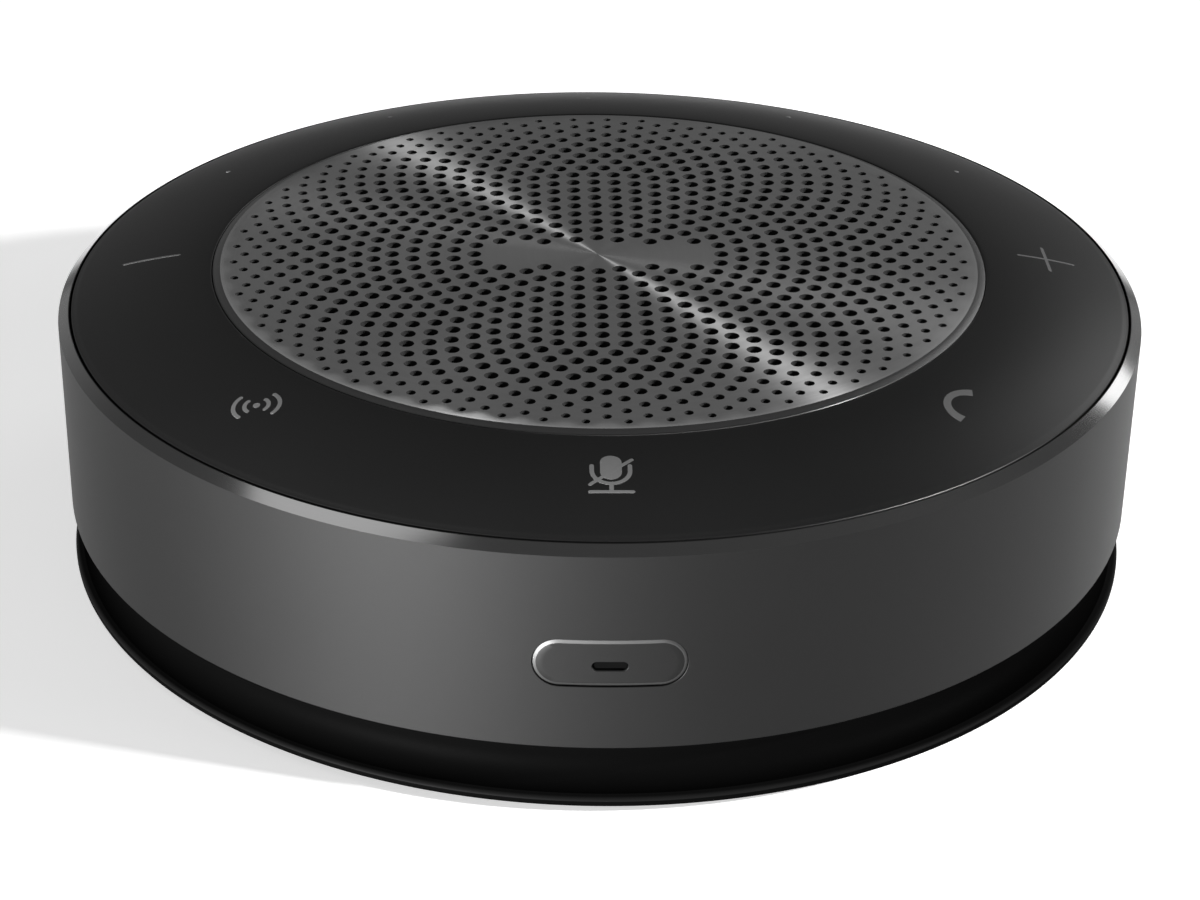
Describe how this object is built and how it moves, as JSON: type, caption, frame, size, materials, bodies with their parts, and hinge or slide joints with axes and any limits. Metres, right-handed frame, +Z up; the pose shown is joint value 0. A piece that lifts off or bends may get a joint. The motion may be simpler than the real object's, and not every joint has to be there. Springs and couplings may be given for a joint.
{
  "type": "conference speakerphone",
  "caption": "Round tabletop speakerphone: perforated metal grille, domed black touch ring, aluminium side band with a pill push button, recessed base on a rubber foot ring.",
  "frame": {"origin": "centre of the circle it stands on, at the underside of the rubber foot", "axes": "+Z up, the push button faces -Y, the supply socket faces +Y"},
  "size_m": [0.1306, 0.1306, 0.0365],
  "materials": {
    "grille_metal": "spun gunmetal, circular brushed, fine perforations",
    "touch_black": "satin black, lightly glossy",
    "band_metal": "bead-blasted dark grey anodised, polished chamfer",
    "button_metal": "bead-blasted dark grey anodised",
    "base_plastic": "satin black moulded",
    "foot_rubber": "matt, fine texture",
    "light_guide": "translucent, unlit",
    "acoustic_cloth": "fine black weave",
    "foam": "closed-cell foam",
    "frame_plastic": "moulded black",
    "circuit_board": "solder-mask green laminate",
    "chip_plastic": "moulded black",
    "plated_steel": "nickel plated",
    "screw_steel": "black zinc",
    "ferrite": "pressed and ground",
    "cone_paper": "black pulp",
    "spider_cloth": "resin-dipped weave",
    "coil_copper": "enamelled copper wire",
    "surround_rubber": "butyl, satin",
    "battery_wrap": "blue heat-shrink",
    "flex_film": "amber film",
    "lead_sleeve": "red and black twin lead"
  },
  "bodies": {
    "housing": {"base_shell": "base_plastic", "foot_ring": "foot_rubber", "side_band": "band_metal", "top_ring": "touch_black", "grille_plate": "grille_metal", "grille_cloth": "acoustic_cloth", "grille_gasket": "foam", "light_pipe_1": "light_guide", "light_pipe_2": "light_guide", "light_pipe_3": "light_guide", "light_pipe_4": "light_guide", "light_pipe_5": "light_guide", "touch_board": "circuit_board", "microphone_1": "plated_steel", "microphone_2": "plated_steel", "microphone_3": "plated_steel", "microphone_4": "plated_steel", "mid_frame": "frame_plastic", "switch_board": "circuit_board", "switch_body": "chip_plastic", "indicator_led": "light_guide", "driver_gasket": "foam", "driver_frame": "frame_plastic", "driver_yoke": "plated_steel", "driver_magnet": "ferrite", "driver_top_plate": "plated_steel", "spider": "spider_cloth", "surround": "surround_rubber", "driver_screw_1": "screw_steel", "driver_screw_2": "screw_steel", "driver_screw_3": "screw_steel", "driver_screw_4": "screw_steel", "main_board": "circuit_board", "main_chip": "chip_plastic", "shield_can": "plated_steel", "capacitor_1": "plated_steel", "capacitor_2": "plated_steel", "usb_socket": "plated_steel", "usb_tongue": "chip_plastic", "board_screw_1": "screw_steel", "board_screw_2": "screw_steel", "board_screw_3": "screw_steel", "board_screw_4": "screw_steel", "battery_foam": "foam", "battery_pack": "battery_wrap", "battery_lead": "lead_sleeve", "speaker_lead": "lead_sleeve", "touch_ribbon": "flex_film", "switch_ribbon": "flex_film", "base_screw_1": "screw_steel", "base_screw_2": "screw_steel", "base_screw_3": "screw_steel", "base_screw_4": "screw_steel"},
    "power_button": {"power_button": "button_metal", "button_light_guide": "light_guide"},
    "switch_plunger": {"switch_plunger": "light_guide"},
    "speaker_moving_parts": {"voice_coil": "coil_copper", "speaker_cone": "cone_paper", "dust_cap": "cone_paper"}
  },
  "joints": [
    {"name": "power_button_press", "type": "slide", "parent": "housing", "child": "power_button", "axis": [0, 1, 0], "range_m": [0, 0.0006], "stiffness_N_per_m": 2500, "springref_m": -0.0004},
    {"name": "switch_plunger_press", "type": "slide", "parent": "housing", "child": "switch_plunger", "axis": [0, 1, 0], "range_m": [0, 0.0006]},
    {"name": "speaker_cone_travel", "type": "slide", "parent": "housing", "child": "speaker_moving_parts", "axis": [0, 0, 1], "range_m": [-0.0015, 0.0015], "stiffness_N_per_m": 1200, "deforming": ["surround", "spider"]}
  ],
  "couplings": [
    {"joint": "switch_plunger_press", "follows": "power_button_press", "ratio": 1}
  ]
}
